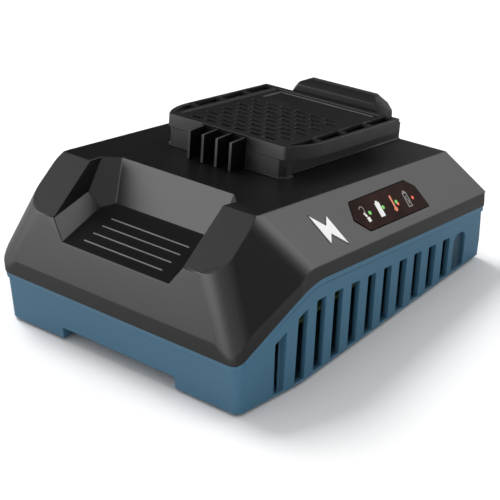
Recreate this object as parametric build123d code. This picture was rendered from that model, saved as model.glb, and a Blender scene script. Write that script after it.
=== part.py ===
from build123d import *
import math
import os

os.makedirs("parts", exist_ok=True)

# Charging stand for slide-on power tool batteries, in millimetres.
# +X is the side with the status lights, +Y the rear, +Z up.
# The origin is at the centre of the bounding box's foot.

# --- Overall body ---------------------------------------------------------
HALF_W = 65.0
HALF_D = 79.0
NOSE_TAPER = 4.8
FLARE_BACK = 31.0
FRONT_CORNER_R = 5.0
REAR_CORNER_R = 2.0
WALL = 2.4
FIT_GAP = 0.15
TALL = 92.0
REACH = 20.0

# Underside and feet
BOTTOM_Z = 1.2
FOOT_R = 3.5
FOOT_FROM_SIDE = 22.5
FOOT_FROM_FRONT = 6.0
FOOT_FROM_REAR = 9.0
FOOT_POCKET = 0.8
FOOT_CHAMFER = 0.4

# Line where the lower housing meets the upper shell, seen from the side
SPLIT_FRONT_Z = 22.0
SPLIT_RISE_BACK = 2.0
SPLIT_PEAK_BACK = 36.7
SPLIT_PEAK_Z = 40.7
SPLIT_FALL = 0.137
SPLIT_PEAK_R = 30.0
SPLIT_RISE_R = 9.0

# Lower housing: drafted, with a collar under the split and a leaning rear wall
FOOT_INSET = 1.5
DRAFT_DEG = 1.2
COLLAR_INSET = 0.4
COLLAR_H = 2.4
REAR_LEAN_DEG = 5.0
LIP_H = 2.0
LIP_ROOT = 3.5
LIP_T = 1.2

# Deck that carries the battery dock: it falls to the rear
DECK_Z = 58.7
DECK_FALL = 0.1503
DECK_FRONT_BACK = 27.6
DECK_REAR_IN = 8.8
DECK_SIDE_IN = 16.0

# Nose and side slopes: heights, and distances back from the nose
LIP_FRONT_Z = 28.8
LIP_FLARE_Z = 43.3
BROW_BACK = 5.7
BROW_Z = 50.9
SLOPE_FRONT_BACK = 48.0
SLOPE_FRONT_Z = 44.9
SLOPE_REAR_IN = 5.5
SLOPE_REAR_Z = 31.0
REAR_LIP_Z = 30.5
CHEEK_SIDE_R = 20.0
CHEEK_FRONT_R = 14.0

# Side ventilation slots, both sides
SLOT_PITCH = 10.75
SLOT_FIRST_BACK = 21.75
SLOT_LAST_IN = 18.0
SLOT_W = 5.3
SLOT_DROP = 8.4
SLOT_SILL = 0.9
SLOT_LEAN_DEG = 4.5
SLOT_PIVOT_Z = 17.0
SLOT_INSIDE = 4.4
END_SLOT_W = 9.0
END_SLOT_R = 3.5
END_SLOT_DEPTH = 1.3
SLIT_W = 2.0
SLIT_DEPTH = 4.0

# Finger notch under the front edge
NOTCH_HALF_W = 29.0
NOTCH_TOP_Z = 6.2
NOTCH_DEPTH = 12.0

# Finger scoop: left-hand points as (x, distance back from the nose, z)
SCOOP_FLOOR = (0.0, 8.7, 44.1)
SCOOP_FLOOR_RISE = 0.196
SCOOP_BACK_TOP = (-30.5, 39.6, 64.6)
SCOOP_BACK_FOOT = (-25.7, 31.9, 48.6)
SCOOP_PANEL_TOP = (-33.4, 34.5, 65.6)
SCOOP_PANEL_FOOT = (-29.7, 27.0, 47.7)
SCOOP_RIM = (-33.0, 27.6, 66.5)
SCOOP_KNEE = (-34.2, 25.8, 53.7)
SCOOP_SIDE_FRONT = (-32.6, 6.0, 50.8)
SCOOP_LOWER_CORNER = (-26.8, 3.0, 43.0)
SCOOP_MIDDLE = (0.0, 21.0, 56.2)
SCOOP_WALL = 2.2
LOUVRE_COUNT = 4
LOUVRE_HALF_W = 19.7
LOUVRE_PITCH = 5.03
LOUVRE_W = 0.9
LOUVRE_PROUD = 0.35

# Battery dock, drawn square to the sloping deck (s along it, h off it)
DOCK_HALF_W = 27.2
DOCK_L = 83.0
DOCK_REAR_GAP = 0.2
DOCK_EAR = 2.2
DOCK_EAR_L = 5.6
DOCK_EAR_RUN = 2.4
RAIL_HALF_W = 34.8
RAIL_T = 5.5
RAIL_NOSE_L = 17.0
RAIL_NOSE_BULGE = 1.6
DOCK_H = 12.86
PLATE_RIM = 1.6
PLATE_FRONT_RIM = 4.2
PLATE_REAR_RIM = 2.2
PLATE_SINK = 0.7
PLATE_SKIN = 2.0
FLANGE = 0.6

# Slots through the dock plate
BRICK_ROWS = 9
BRICK_COLS = 6
BRICK_L = 5.4
BRICK_W = 2.0
BRICK_PITCH_X = 7.4
BRICK_PITCH_S = 4.9
BRICK_FIRST_IN = 7.0
RIM_SLOT_COUNT = 4
RIM_SLOT_L = 15.0
RIM_SLOT_W = 4.2
RIM_SLOT_PITCH = 16.8
RIM_SLOT_REAR_IN = 2.2
RIM_SLOT_DEPTH = 2.2
RIM_SLOT_EDGE = 1.7
PANEL_HALF_W = 24.0
PANEL_L = 12.5
PANEL_REAR_IN = 3.7
PANEL_SINK = 0.5

# Terminal comb on the front of the dock
RIB_COUNT = 4
RIB_PITCH = 6.9
RIB_T = 1.2
RIB_L = 8.75
RIB_FRONT_H = 11.6
RIB_BACK_H = 12.4
RIB_FOOT_GAP = 0.2
HOLDER_HALF_W = 11.2
HOLDER_T = 1.6
HOLDER_GAP = 0.1
BLADE_T = 0.5
BLADE_SETBACK = 2.25
BLADE_TAIL = 4.0
BLADE_H = (1.5, 7.1)
WIRE_HALF_W = 9.0
WIRE_FRONT_IN = 3.0
WIRE_REAR_IN = 12.0

# Raised stop at the rear of the dock (half-widths and heights of its end profile)
STOP_FOOT_W = 25.2
STOP_KNEE_W = 24.7
STOP_SHOULDER_W = 22.0
STOP_RIDGE_W = 16.5
STOP_KNEE_H = 12.5
STOP_SHOULDER_H = 15.4
STOP_H = 18.05
STOP_BROW_H = 17.75
STOP_BROW_D = 3.6
STOP_T = 7.4
STOP_REAR_IN = 3.4
STOP_CHAMFER_TOP_W = 19.6
STOP_CHAMFER_LOW_W = 21.85
STOP_CHAMFER_LOW_H = 12.3
STOP_CHAMFER_D = 4.8
PLATE_SEAM = 2.5

# Status light window on the right slope (u to the rear, v down the slope)
LENS_U = (-3.0, 41.2)
LENS_V = (6.5, 19.4)
LENS_LEAN = 2.3
LENS_FRONT_CUT = 6.0
LENS_REAR_CUT = (4.4, 3.5)
LENS_LEDGE = 2.0
LENS_T = 1.0
LENS_PROUD = 0.25
LED_COUNT = 4
LED_PITCH = 9.5
LED_FIRST_IN = 8.0
LED_V = 13.2
LED_SIZE = (3.2, 1.6, 1.2)
GUIDE_R = 1.3
GUIDE_L = 2.3
LED_GAP = 0.1
LED_BOARD_HALF_V = 4.0
LED_BOARD_T = 1.4

# Inlay in front of the light window
INLAY_GAP = 18.0
INLAY_V = 13.0
INLAY_TURN = 52.0
INLAY_HALF_L = 9.5
INLAY_HALF_W = 5.4
INLAY_T = 0.6
INLAY_PROUD = 0.2

# Screws
SCREW_R = 1.4
SCREW_HEAD_R = 2.8
SCREW_HEAD_H = 1.8
CROSS_HALF_L = 1.6
CROSS_HALF_W = 0.35
CROSS_DEPTH = 0.9
HOUSING_BOSS_R = 4.2
HOUSING_BOSS_H = 10.8
HOUSING_SCREW_L = 16.0
HOUSING_SCREW_IN = 13.5
HOUSING_SCREW_BACK = 17.0
HOUSING_SCREW_REAR_IN = 13.0
HEAD_POCKET = 4.0

# Fan on the left wall, blowing out through the slots
FAN_SIZE = 30.0
FAN_T = 10.0
FAN_WALL_GAP = 3.7
FAN_Y = 2.0
FAN_Z = 21.7
FAN_CORNER_R = 2.0
FAN_BORE_R = 14.0
FAN_HOLE_R = 1.2
FAN_HOLE_IN = 3.0
CARRIER_T = 2.0
CARRIER_ARM = 2.4
ROTOR_R = 13.2
HUB_R = 6.0
ROTOR_FACE_GAP = 0.8
ROTOR_BACK_GAP = 0.5
BLADE_COUNT = 7
BLADE_CHORD = 7.0
BLADE_THICK = 1.0
BLADE_PITCH_DEG = 38.0
SHAFT_R = 1.5
RUNNING_FIT = 0.05
CRADLE_HALF_L = 11.0
CRADLE_T = 1.45
CRADLE_H = 2.2

# Mains inlet in the rear wall (two-pole appliance inlet)
INLET_FROM_SIDE = 35.0
INLET_Z = 14.2
INLET_W = 24.0
INLET_H = 14.0
INLET_L = 18.0
INLET_PROUD = 0.8
SOCKET_W = 16.9
SOCKET_H = 8.2
SOCKET_L = 13.0
PIN_R = 1.2
PIN_TIP_R = 0.9
PIN_SPACING = 8.6
PIN_L = 11.0
PIN_TAIL = 6.0

# Main board: placed from the fan, the inlet and the nose
BOARD_Z = 10.2
BOARD_T = 1.6
BOARD_SIDE_GAP = 1.5
BOARD_REAR_GAP = 2.3
BOARD_FRONT_BACK = 31.0
BOSS_IN = 5.0
BOSS_R = 3.5
BOARD_SCREW_L = 4.6

# Transformer: places on the board are measured from its rear and right edges
CORE_SIZE = (30.0, 28.0, 24.0)
CORE_LIMB = 5.0
CORE_LEG_W = 9.0
CORE_FROM_REAR = 41.0
CORE_X = 1.0
COIL_GAP = 0.3
COIL_OUT = 5.0
COIL_R = 3.0
BOBBIN_H = 3.0
BOBBIN_IN = 2.0
BOBBIN_OUT = 4.0

# Capacitors, choke and fuse
MAINS_CAN = (9.0, 27.0)
MAINS_CAN_FROM_SIDE = 21.9
MAINS_CAN_FROM_REAR = 13.0
OUTPUT_CAN = (5.0, 20.0)
OUTPUT_CAN_COUNT = 3
OUTPUT_CAN_PITCH = 12.0
OUTPUT_CAN_FIRST_X = -8.0
OUTPUT_CAN_FROM_FRONT = 24.0
CAN_GROOVE_Z = 2.4
CAN_GROOVE_H = 0.8
CAN_GROOVE_DEPTH = 0.4
CHOKE_R = 7.0
CHOKE_RING_R = 3.2
CHOKE_LIFT = 0.3
CHOKE_X = 6.0
CHOKE_FROM_REAR = 7.0
FUSE_R = 2.6
FUSE_CAP_R = 3.0
FUSE_L = 21.0
FUSE_CAP_L = 5.0
FUSE_LIFT = 3.2
FUSE_FROM_SIDE = 6.0
FUSE_FROM_REAR = 35.5
FILM_SIZE = (12.5, 15.0, 13.0)
FILM_R = 1.0
FILM_X = -12.75
FILM_FROM_REAR = 10.5

# Heat sinks and the transistors that lean on them
SINK_T = 2.0
SINK_H = 24.0
SINK_FINS = 4
FIN_OUT = 5.0
FIN_T = 1.2
FIN_FIRST_Z = 4.0
PRIMARY_SINK_X = -26.0
PRIMARY_SINK_L = 34.0
PRIMARY_SINK_FROM_REAR = 17.0
SECONDARY_SINK_X = 30.0
SECONDARY_SINK_L = 40.0
SECONDARY_SINK_FROM_FRONT = 40.0
TRANSISTOR_SIZE = (4.4, 10.0, 15.0)
TRANSISTOR_Z = 5.0
TRANSISTOR_GAP = 0.05
TRANSISTOR_SPREAD = 7.0
LEAD_PITCH = 2.54
LEAD_W = 0.8
LEAD_T = 0.6
LEAD_IN = 2.0


# --- Helpers ---------------------------------------------------------------
def block(x, y, z):
    """Box from its low and high limits on each axis."""
    size = (x[1] - x[0], y[1] - y[0], z[1] - z[0])
    middle = ((x[0] + x[1]) / 2, (y[0] + y[1]) / 2, (z[0] + z[1]) / 2)
    return Pos(*middle) * Box(*size)


def span(middle, length):
    """Limits of a length about its middle."""
    return (middle - length / 2, middle + length / 2)


def both(value):
    return (-value, value)


def rod(radius, length, base, axis="z"):
    """Cylinder that starts at base and runs along +x, +y or +z."""
    turn = {"x": Rot(0, 90, 0), "y": Rot(-90, 0, 0), "z": Rot(0, 0, 0)}[axis]
    lifted = Pos(0, 0, length / 2) * Cylinder(radius, length)
    return Pos(*base) * turn * lifted


def face_through(a, b, c, inside):
    """Plane through three points whose normal points away from inside."""
    a, b, c, inside = Vector(*a), Vector(*b), Vector(*c), Vector(*inside)
    normal = (b - a).cross(c - a).normalized()
    if normal.dot(inside - a) > 0:
        normal = -normal
    return Plane(origin=a, z_dir=normal)


def mirrored(plane):
    origin = Vector(-plane.origin.X, plane.origin.Y, plane.origin.Z)
    normal = Vector(-plane.z_dir.X, plane.z_dir.Y, plane.z_dir.Z)
    return Plane(origin=origin, z_dir=normal)


def moved_in(plane, distance):
    return Plane(origin=plane.origin - plane.z_dir * distance, z_dir=plane.z_dir)


def trimmed(body, planes, inset=0.0):
    """Keep what lies behind every plane, each moved in by inset."""
    for plane in planes:
        body = split(body, bisect_by=moved_in(plane, inset), keep=Keep.BOTTOM)
    return body


def group(solids):
    return Compound(children=list(solids))


def screw(x, y, head_z, length, up):
    """Cross-head screw; up is 1 when its shank points up, -1 when down."""
    low = head_z if up > 0 else head_z - length
    shank = rod(SCREW_R, length, (x, y, low))
    head_low = head_z - SCREW_HEAD_H if up > 0 else head_z
    head = rod(SCREW_HEAD_R, SCREW_HEAD_H, (x, y, head_low))
    face_z = head_z - up * SCREW_HEAD_H
    depth = sorted((face_z + up * CROSS_DEPTH, face_z - up * SCREW_HEAD_H))
    cross = block(span(x, 2 * CROSS_HALF_L), span(y, 2 * CROSS_HALF_W), depth)
    cross += block(span(x, 2 * CROSS_HALF_W), span(y, 2 * CROSS_HALF_L), depth)
    return head + shank - cross


# --- Places that follow from the body --------------------------------------
FRONT_Y = -HALF_D
NOSE_HALF_W = HALF_W - NOSE_TAPER
FLARE_Y = FRONT_Y + FLARE_BACK
DECK_HALF_W = HALF_W - DECK_SIDE_IN
DECK_FRONT_Y = FRONT_Y + DECK_FRONT_BACK
DECK_REAR_Y = HALF_D - DECK_REAR_IN
SPLIT_RISE_Y = FRONT_Y + SPLIT_RISE_BACK
SPLIT_PEAK_Y = FRONT_Y + SPLIT_PEAK_BACK


def deck_z(y):
    return DECK_Z - DECK_FALL * y


def split_height(y):
    """Height of the split on its rearward straight run."""
    return SPLIT_PEAK_Z - SPLIT_FALL * (y - SPLIT_PEAK_Y)


# --- Outer form ------------------------------------------------------------
CORE = (0.0, 0.0, 20.0)
DECK_CORNER = (DECK_HALF_W, DECK_FRONT_Y, deck_z(DECK_FRONT_Y))
NOSE_CORNER = (NOSE_HALF_W, FRONT_Y, LIP_FRONT_Z)
FLARE_CORNER = (HALF_W, FLARE_Y, LIP_FLARE_Z)
BROW_POINT = (0, FRONT_Y + BROW_BACK, BROW_Z)
LIP_POINT = (0, FRONT_Y, LIP_FRONT_Z)
SLOPE_TOP = (DECK_HALF_W, 0, DECK_Z)
SLOPE_FRONT = (HALF_W, FRONT_Y + SLOPE_FRONT_BACK, SLOPE_FRONT_Z)
SLOPE_REAR = (HALF_W, HALF_D - SLOPE_REAR_IN, SLOPE_REAR_Z)
TAIL_TOP = (0, DECK_REAR_Y, deck_z(DECK_REAR_Y))


def beside(point):
    """Point to the right of another one."""
    return (point[0] + 10.0, point[1], point[2])


DECK = face_through((0, 0, DECK_Z), (10, 0, DECK_Z), (0, 10, deck_z(10)), CORE)
NOSE = face_through(LIP_POINT, beside(LIP_POINT), BROW_POINT, CORE)
BROW = face_through(BROW_POINT, beside(BROW_POINT), DECK_CORNER, CORE)
CHEEK = face_through(DECK_CORNER, NOSE_CORNER, FLARE_CORNER, CORE)
SIDE = face_through(SLOPE_FRONT, SLOPE_REAR, SLOPE_TOP, CORE)
TAIL = face_through(TAIL_TOP, beside(TAIL_TOP), (0, HALF_D, REAR_LIP_Z), CORE)
FORM_FACES = [NOSE, BROW, DECK, TAIL, CHEEK, mirrored(CHEEK), SIDE, mirrored(SIDE)]


def plan_outline(inset):
    """Plan of the body: a nose that narrows forward from the flare line."""
    corners = [
        (-NOSE_HALF_W, FRONT_Y),
        (NOSE_HALF_W, FRONT_Y),
        (HALF_W, FLARE_Y),
        (HALF_W, HALF_D),
        (-HALF_W, HALF_D),
        (-HALF_W, FLARE_Y),
    ]
    sheet = make_face(Polyline(*corners, close=True))
    for end, radius in ((FRONT_Y, FRONT_CORNER_R), (HALF_D, REAR_CORNER_R)):
        sheet = fillet([v for v in sheet.vertices() if abs(v.Y - end) < 0.01], radius)
    if inset:
        sheet = offset(sheet, -inset, kind=Kind.INTERSECTION)
    return sheet


def edge_between(body, one, other, inset):
    """Edges that lie on both planes."""
    found = []
    for edge in body.edges():
        points = [edge.position_at(t) for t in (0.25, 0.5, 0.75)]
        planes = [moved_in(plane, inset) for plane in (one, other)]
        if all(abs((p - near.origin).dot(near.z_dir)) < 0.02 for p in points for near in planes):
            found.append(edge)
    return found


def soften(body, inset):
    """Round the edges between cheek and slope, and between nose and cheek."""
    for one, other, radius in (
        (CHEEK, SIDE, CHEEK_SIDE_R),
        (mirrored(CHEEK), mirrored(SIDE), CHEEK_SIDE_R),
        (NOSE, CHEEK, CHEEK_FRONT_R),
        (NOSE, mirrored(CHEEK), CHEEK_FRONT_R),
    ):
        edges = edge_between(body, one, other, inset)
        if edges:
            body = fillet(edges, radius - inset)
    return body


def outer_form(inset, soft=True):
    """Body outside, moved in by inset, with its rounded slope edges."""
    body = extrude(plan_outline(inset), amount=TALL)
    body = trimmed(body, FORM_FACES, inset)
    return soften(body, inset) if soft else body


def below_split(drop=0.0):
    """Everything under the split line, lowered by drop."""
    far = HALF_D + REACH
    points = [
        (-far, -REACH),
        (-far, SPLIT_FRONT_Z - drop),
        (SPLIT_RISE_Y, SPLIT_FRONT_Z - drop),
        (SPLIT_PEAK_Y, SPLIT_PEAK_Z - drop),
        (far, split_height(far) - drop),
        (far, -REACH),
    ]
    sheet = make_face(Polyline(*points, close=True))
    for y, radius in ((SPLIT_RISE_Y, SPLIT_RISE_R), (SPLIT_PEAK_Y, SPLIT_PEAK_R)):
        corner = [v for v in sheet.vertices() if abs(v.X - y) < 0.01]
        sheet = fillet(corner, radius)
    return extrude(Plane.YZ * sheet, amount=HALF_W + REACH, both=True)


# --- Upper shell -----------------------------------------------------------
def behind_nose(point):
    """Point given by its distance back from the nose."""
    return (point[0], FRONT_Y + point[1], point[2])


def scoop_face(a, b, c):
    return face_through(behind_nose(a), behind_nose(b), behind_nose(c), behind_nose(SCOOP_MIDDLE))


FLOOR_BACK = (0.0, SCOOP_FLOOR[1] + 10, SCOOP_FLOOR[2] + 10 * SCOOP_FLOOR_RISE)
SCOOP_BASE = scoop_face(SCOOP_FLOOR, FLOOR_BACK, beside(SCOOP_FLOOR))
SCOOP_BACK = scoop_face(SCOOP_BACK_TOP, SCOOP_BACK_FOOT, beside(SCOOP_BACK_TOP))
SCOOP_PANEL = scoop_face(SCOOP_PANEL_TOP, SCOOP_PANEL_FOOT, SCOOP_BACK_FOOT)
SCOOP_UPPER = scoop_face(SCOOP_RIM, SCOOP_KNEE, SCOOP_SIDE_FRONT)
SCOOP_LOWER = scoop_face(SCOOP_SIDE_FRONT, SCOOP_LOWER_CORNER, SCOOP_PANEL_FOOT)
SCOOP_FACES = [SCOOP_BASE, SCOOP_BACK]
for plane in (SCOOP_PANEL, SCOOP_UPPER, SCOOP_LOWER):
    SCOOP_FACES += [plane, mirrored(plane)]


def scoop(grow):
    """The scoop's hollow, with every wall moved out by grow."""
    start = block(both(DECK_HALF_W), (FRONT_Y - REACH, FRONT_Y + 3 * REACH), (REACH, TALL))
    return trimmed(start, SCOOP_FACES, -grow)


lower_side = below_split()
skin = outer_form(0.0)
shell = skin - outer_form(WALL)
shell = shell + (scoop(SCOOP_WALL) & skin)
shell = shell - scoop(0.0)
shell = shell - lower_side

# Frame square to the deck: s runs down the deck to the rear, h stands off it
deck_frame = Plane(origin=(0, 0, DECK_Z), x_dir=(1, 0, 0), z_dir=DECK.z_dir)

# Frame on the right slope: u runs to the rear; its second axis points up the slope
side_u = (Vector(*SLOPE_REAR) - Vector(*SLOPE_FRONT)).normalized()
side_frame = Plane(origin=SLOPE_TOP, x_dir=side_u, z_dir=SIDE.z_dir)


def grown(sheet, grow):
    return offset(sheet, grow, kind=Kind.INTERSECTION) if grow else sheet


def lens_outline(grow):
    """Window with its lower front and upper rear corners cut."""
    front = LENS_U[0] - LENS_LEAN
    rear = LENS_U[1] - LENS_LEAN
    points = [
        (LENS_U[0], -LENS_V[0]),
        (front, -LENS_V[1] + LENS_FRONT_CUT),
        (front + LENS_FRONT_CUT, -LENS_V[1]),
        (LENS_U[1], -LENS_V[1]),
        (rear, -LENS_V[0] - LENS_REAR_CUT[1]),
        (rear - LENS_REAR_CUT[0], -LENS_V[0]),
    ]
    return grown(make_face(Polyline(*points, close=True)), grow)


def inlay_outline(grow):
    """Plain lightning bolt."""
    waist = 0.35 * INLAY_HALF_W
    half_bolt = [
        (waist, INLAY_HALF_L),
        (-INLAY_HALF_W, -0.12 * INLAY_HALF_L),
        (-0.2 * INLAY_HALF_W, -0.12 * INLAY_HALF_L),
    ]
    points = half_bolt + [(-x, -y) for x, y in half_bolt]
    sheet = make_face(Polyline(*points, close=True))
    return Pos(LENS_U[0] - INLAY_GAP, -INLAY_V) * Rot(0, 0, INLAY_TURN) * grown(sheet, grow)


def slope_slab(sheet, low, high):
    """Slab on the right slope between two depths under its face."""
    return side_frame * (Pos(0, 0, -low) * extrude(sheet, amount=low - high))


shell = shell - slope_slab(lens_outline(FIT_GAP), LENS_T - LENS_PROUD, -1.0)
shell = shell - slope_slab(lens_outline(-LENS_LEDGE), WALL + 1.0, -1.0)
shell = shell - slope_slab(inlay_outline(FIT_GAP), INLAY_T - INLAY_PROUD, -1.0)
lens = slope_slab(lens_outline(0.0), LENS_T - LENS_PROUD, -LENS_PROUD)
inlay = slope_slab(inlay_outline(0.0), INLAY_T - INLAY_PROUD, -INLAY_PROUD)

# Places along the dock
DOCK_REAR = DECK_REAR_Y - DOCK_REAR_GAP
DOCK_FRONT = DOCK_REAR - DOCK_L
STOP_BACK = DOCK_REAR - STOP_REAR_IN
STOP_FRONT = STOP_BACK - STOP_T
PLATE_REAR = STOP_FRONT - PLATE_SEAM
PLATE_FOOT = DOCK_H - RAIL_T
DOCK_EAR_HALF_W = DOCK_HALF_W + DOCK_EAR

# Opening in the deck for the wires from the terminal comb
WIRE_S = (DOCK_FRONT + WIRE_FRONT_IN, DOCK_FRONT + WIRE_REAR_IN)
shell = shell - deck_frame * block(both(WIRE_HALF_W), WIRE_S, (-2 * WALL, 1))

# Bosses that take the housing screws
HOUSING_SCREW_X = HALF_W - HOUSING_SCREW_IN
HOUSING_SCREW_Y = (FRONT_Y + HOUSING_SCREW_BACK, HALF_D - HOUSING_SCREW_REAR_IN)
HOUSING_BOSS_TOP = BOTTOM_Z + HOUSING_BOSS_H
screw_room = outer_form(WALL / 2, soft=False)
for x in both(HOUSING_SCREW_X):
    for y in HOUSING_SCREW_Y:
        post = rod(HOUSING_BOSS_R, TALL, (x, y, HOUSING_BOSS_TOP)) & screw_room
        shell = shell + (post - rod(SCREW_R, HOUSING_SCREW_L, (x, y, BOTTOM_Z + HEAD_POCKET)))

# Four louvre bars on the scoop floor
scoop_frame = Plane(origin=behind_nose(SCOOP_FLOOR), x_dir=(1, 0, 0), z_dir=-SCOOP_BASE.z_dir)
bars = []
for i in range(LOUVRE_COUNT):
    bar = block(both(LOUVRE_HALF_W), span(i * LOUVRE_PITCH, LOUVRE_W), (0, LOUVRE_PROUD))
    bars.append(scoop_frame * bar)


# --- Lower housing ---------------------------------------------------------
def rear_wall(inset):
    """Leaning rear wall, whose top meets the collar."""
    top = (0, HALF_D - COLLAR_INSET - inset, split_height(HALF_D))
    lean = math.radians(REAR_LEAN_DEG)
    return Plane(origin=top, z_dir=(0, math.cos(lean), -math.sin(lean)))


def base_form(inset):
    """Drafted tub up to well above the split."""
    sheet = Pos(0, 0, BOTTOM_Z) * plan_outline(FOOT_INSET + inset)
    tub = extrude(sheet, amount=TALL / 2, taper=-DRAFT_DEG)
    return trimmed(tub, [rear_wall(inset)])


FLOOR_Z = BOTTOM_Z + WALL
base_solid = base_form(0.0) & lower_side
far_x = both(HALF_W + REACH)
far_y = both(HALF_D + REACH)
base_hollow = base_form(WALL) - block(far_x, far_y, (0, FLOOR_Z))
collar = extrude(plan_outline(COLLAR_INSET), amount=TALL / 2)
collar = collar & (lower_side - below_split(COLLAR_H))
base_outside = base_solid + collar
base = base_outside - base_hollow

# Lip inside the shell's wall that keys the two halves together
lip_out = extrude(plan_outline(WALL + FIT_GAP), amount=TALL / 2)
lip_in = extrude(plan_outline(WALL + FIT_GAP + LIP_T), amount=TALL / 2)
lip = (lip_out - lip_in) & (below_split(-LIP_H) - below_split(LIP_ROOT))
base = base + (lip & outer_form(WALL + FIT_GAP, soft=False))


def slot_cutter(y, width, x_in, corner_r=0.0):
    """Slot that leans with the rear wall, from a sill to a top along the split."""
    slab = block((x_in, HALF_W + REACH), both(width / 2), (-REACH, TALL))
    lean = Pos(0, y, SLOT_PIVOT_Z) * Rot(-SLOT_LEAN_DEG, 0, 0) * Pos(0, 0, -SLOT_PIVOT_Z)
    slab = (lean * slab) & below_split(SLOT_DROP)
    slab = slab - block(far_x, far_y, (-REACH, BOTTOM_Z + SLOT_SILL))
    if corner_r:
        slab = fillet(slab.edges().filter_by(Axis.X).sort_by(Axis.Z)[-2:], corner_r)
    return slab


def cut_both_sides(body, cutter):
    return body - cutter - mirror(cutter, Plane.YZ)


SLOT_FIRST_Y = FRONT_Y + SLOT_FIRST_BACK
SLOT_LAST_Y = HALF_D - SLOT_LAST_IN
SLOT_COUNT = 1 + round((SLOT_LAST_Y - SLOT_FIRST_Y) / SLOT_PITCH)
for i in range(1, SLOT_COUNT - 1):
    y = SLOT_LAST_Y - SLOT_PITCH * (SLOT_COUNT - 1 - i)
    depth = HALF_W - FOOT_INSET - SLOT_INSIDE
    base = cut_both_sides(base, slot_cutter(y, SLOT_W, depth))

# The first slot is shallow with a slit in it, the last one is blind
first_y = SLOT_LAST_Y - SLOT_PITCH * (SLOT_COUNT - 1)
nose_share = (first_y - FRONT_Y) / FLARE_BACK
first_x = NOSE_HALF_W + nose_share * NOSE_TAPER - FOOT_INSET - END_SLOT_DEPTH
base = cut_both_sides(base, slot_cutter(first_y, SLOT_W, first_x))
base = cut_both_sides(base, slot_cutter(first_y, SLIT_W, first_x - SLIT_DEPTH))
last_x = HALF_W - FOOT_INSET - END_SLOT_DEPTH
base = cut_both_sides(base, slot_cutter(SLOT_LAST_Y, END_SLOT_W, last_x, END_SLOT_R))

# Finger notch: the floor is stepped up behind it
NOTCH_BACK_Y = FRONT_Y + FOOT_INSET + NOTCH_DEPTH
notch_room = block(both(NOTCH_HALF_W + WALL), (FRONT_Y, NOTCH_BACK_Y + WALL), (BOTTOM_Z, NOTCH_TOP_Z + WALL))
base = base + (notch_room & base_solid)
base = base - block(both(NOTCH_HALF_W), (FRONT_Y - 1, NOTCH_BACK_Y), (-1, NOTCH_TOP_Z))

# Foot pockets
feet = {}
foot_x = HALF_W - FOOT_FROM_SIDE
for side, x in (("left", -foot_x), ("right", foot_x)):
    for end, y in (("front", FRONT_Y + FOOT_FROM_FRONT), ("rear", HALF_D - FOOT_FROM_REAR)):
        base = base - rod(FOOT_R + FIT_GAP, FOOT_POCKET, (x, y, BOTTOM_Z))
        foot = rod(FOOT_R, BOTTOM_Z + FOOT_POCKET, (x, y, 0.0))
        feet[f"foot_{end}_{side}"] = chamfer(foot.edges().sort_by(Axis.Z)[0], FOOT_CHAMFER)

# Cradle that the fan frame stands in
FAN_X = -(HALF_W - FOOT_INSET - WALL - FAN_WALL_GAP - FAN_T / 2)
fan_foot = FAN_Z - FAN_SIZE / 2
cradle_y = span(FAN_Y, 2 * CRADLE_HALF_L)
cradle_low = FLOOR_Z - 0.5
clip_x = FAN_T / 2 + FIT_GAP
base = base + block(span(FAN_X, 2 * (clip_x + CRADLE_T)), cradle_y, (cradle_low, fan_foot))
for side in (-1, 1):
    clip = sorted((FAN_X + side * clip_x, FAN_X + side * (clip_x + CRADLE_T)))
    base = base + block(clip, cradle_y, (cradle_low, fan_foot + CRADLE_H))

# Mains inlet: its place, and its cut-out in the rear wall
INLET_X = HALF_W - INLET_FROM_SIDE
lean_back = math.tan(math.radians(REAR_LEAN_DEG)) * (split_height(HALF_D) - INLET_Z)
INLET_Y = HALF_D - COLLAR_INSET - lean_back + INLET_PROUD
INLET_FRONT_Y = INLET_Y - INLET_L
inlet_x = span(INLET_X, INLET_W)
inlet_z = span(INLET_Z, INLET_H)
base = base - block(
    (inlet_x[0] - FIT_GAP, inlet_x[1] + FIT_GAP),
    (INLET_FRONT_Y, HALF_D + REACH),
    (inlet_z[0] - FIT_GAP, inlet_z[1] + FIT_GAP),
)

# Board bosses and screw bosses
BOSS_TOP = BOARD_Z - BOARD_T / 2
BOARD_HALF_W = -FAN_X - FAN_T / 2 - BOARD_SIDE_GAP
BOARD_Y = (FRONT_Y + BOARD_FRONT_BACK, INLET_FRONT_Y - BOARD_REAR_GAP)
BOSS_X = BOARD_HALF_W - BOSS_IN
BOSS_Y = (BOARD_Y[0] + BOSS_IN + 1.0, BOARD_Y[1] - BOSS_IN - 1.0)
for x in both(BOSS_X):
    for y in BOSS_Y:
        base = base + rod(BOSS_R, BOSS_TOP - BOTTOM_Z, (x, y, BOTTOM_Z))
        base = base - rod(SCREW_R, BOSS_TOP, (x, y, FLOOR_Z))
housing_screws = []
for x in both(HOUSING_SCREW_X):
    for y in HOUSING_SCREW_Y:
        base = base + (rod(HOUSING_BOSS_R, HOUSING_BOSS_H, (x, y, BOTTOM_Z)) & base_solid)
        base = base - rod(SCREW_HEAD_R + FIT_GAP, HEAD_POCKET, (x, y, BOTTOM_Z))
        base = base - rod(SCREW_R + FIT_GAP, HOUSING_BOSS_H + 1.0, (x, y, BOTTOM_Z))
        housing_screws.append(screw(x, y, BOTTOM_Z + HEAD_POCKET, HOUSING_SCREW_L, 1))


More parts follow.
